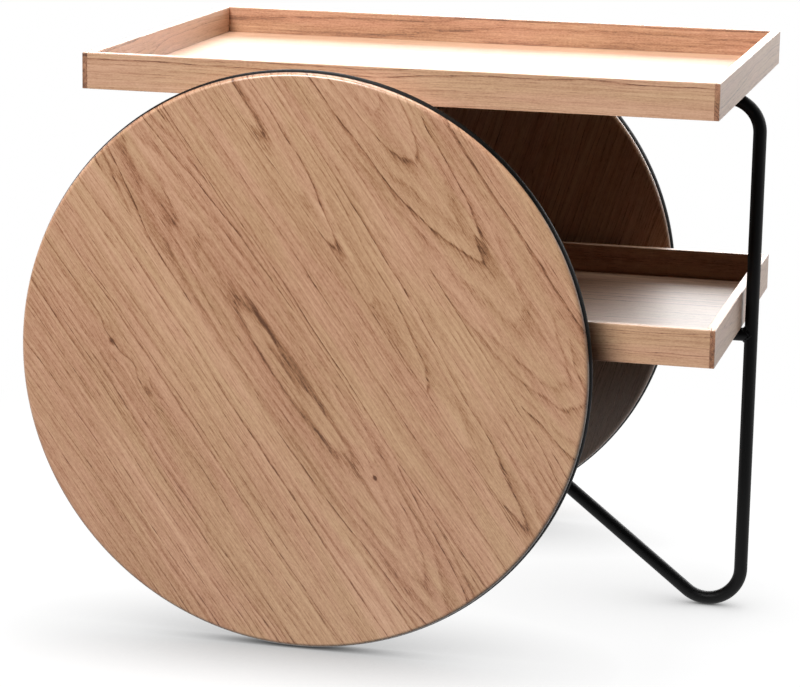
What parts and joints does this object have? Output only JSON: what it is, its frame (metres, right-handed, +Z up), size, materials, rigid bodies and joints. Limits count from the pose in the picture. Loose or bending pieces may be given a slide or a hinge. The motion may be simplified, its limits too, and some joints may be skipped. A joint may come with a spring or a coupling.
{
  "type": "rolling side table",
  "caption": "Rolling side table with two large wooden disc wheels on one axle, a bent tube frame with a single leg, and two shallow wooden trays.",
  "frame": {"origin": "on the floor, under the middle of the whole table's box", "axes": "+X from the wheels towards the leg, +Y from the front wheel to the rear wheel along the axle, +Z up"},
  "size_m": [0.7109, 0.548, 0.587],
  "materials": {
    "oak": "satin clear lacquer",
    "tyre_rubber": "matt",
    "black_steel": "satin black powder coat",
    "zinc_steel": "zinc plated",
    "bearing_steel": "ground and polished",
    "cage_plastic": "natural moulded"
  },
  "bodies": {
    "frame": {"frame_loop": "black_steel", "tray_strut": "black_steel", "axle_cross_tube": "black_steel", "axle_rod": "zinc_steel", "axle_shims": "zinc_steel", "axle_washers": "zinc_steel", "axle_nuts": "zinc_steel", "front_bearing_inner_rings": "bearing_steel", "front_ring_spacer": "zinc_steel", "rear_bearing_inner_rings": "bearing_steel", "rear_ring_spacer": "zinc_steel", "upper_tray_base": "oak", "upper_tray_front_wall": "oak", "upper_tray_back_wall": "oak", "upper_tray_left_wall": "oak", "upper_tray_right_wall": "oak", "upper_tray_cleats": "black_steel", "upper_tray_screws": "zinc_steel", "lower_tray_base": "oak", "lower_tray_front_wall": "oak", "lower_tray_back_wall": "oak", "lower_tray_left_wall": "oak", "lower_tray_right_wall": "oak", "lower_tray_cleats": "black_steel", "lower_tray_screws": "zinc_steel"},
    "front_wheel": {"front_wheel_disc": "oak", "front_tyre": "tyre_rubber", "front_hub": "zinc_steel", "front_flange_screws": "zinc_steel", "front_bearing_outer_rings": "bearing_steel", "front_bearing_balls": "bearing_steel", "front_bearing_cages": "cage_plastic"},
    "rear_wheel": {"rear_wheel_disc": "oak", "rear_tyre": "tyre_rubber", "rear_hub": "zinc_steel", "rear_flange_screws": "zinc_steel", "rear_bearing_outer_rings": "bearing_steel", "rear_bearing_balls": "bearing_steel", "rear_bearing_cages": "cage_plastic"}
  },
  "joints": [
    {"name": "front_wheel_spin", "type": "hinge", "parent": "frame", "child": "front_wheel", "pos_m": [-0.0635, -0.245, 0.292], "axis": [0, 1, 0], "continuous": true},
    {"name": "rear_wheel_spin", "type": "hinge", "parent": "frame", "child": "rear_wheel", "pos_m": [-0.0635, 0.245, 0.292], "axis": [0, 1, 0], "continuous": true}
  ]
}
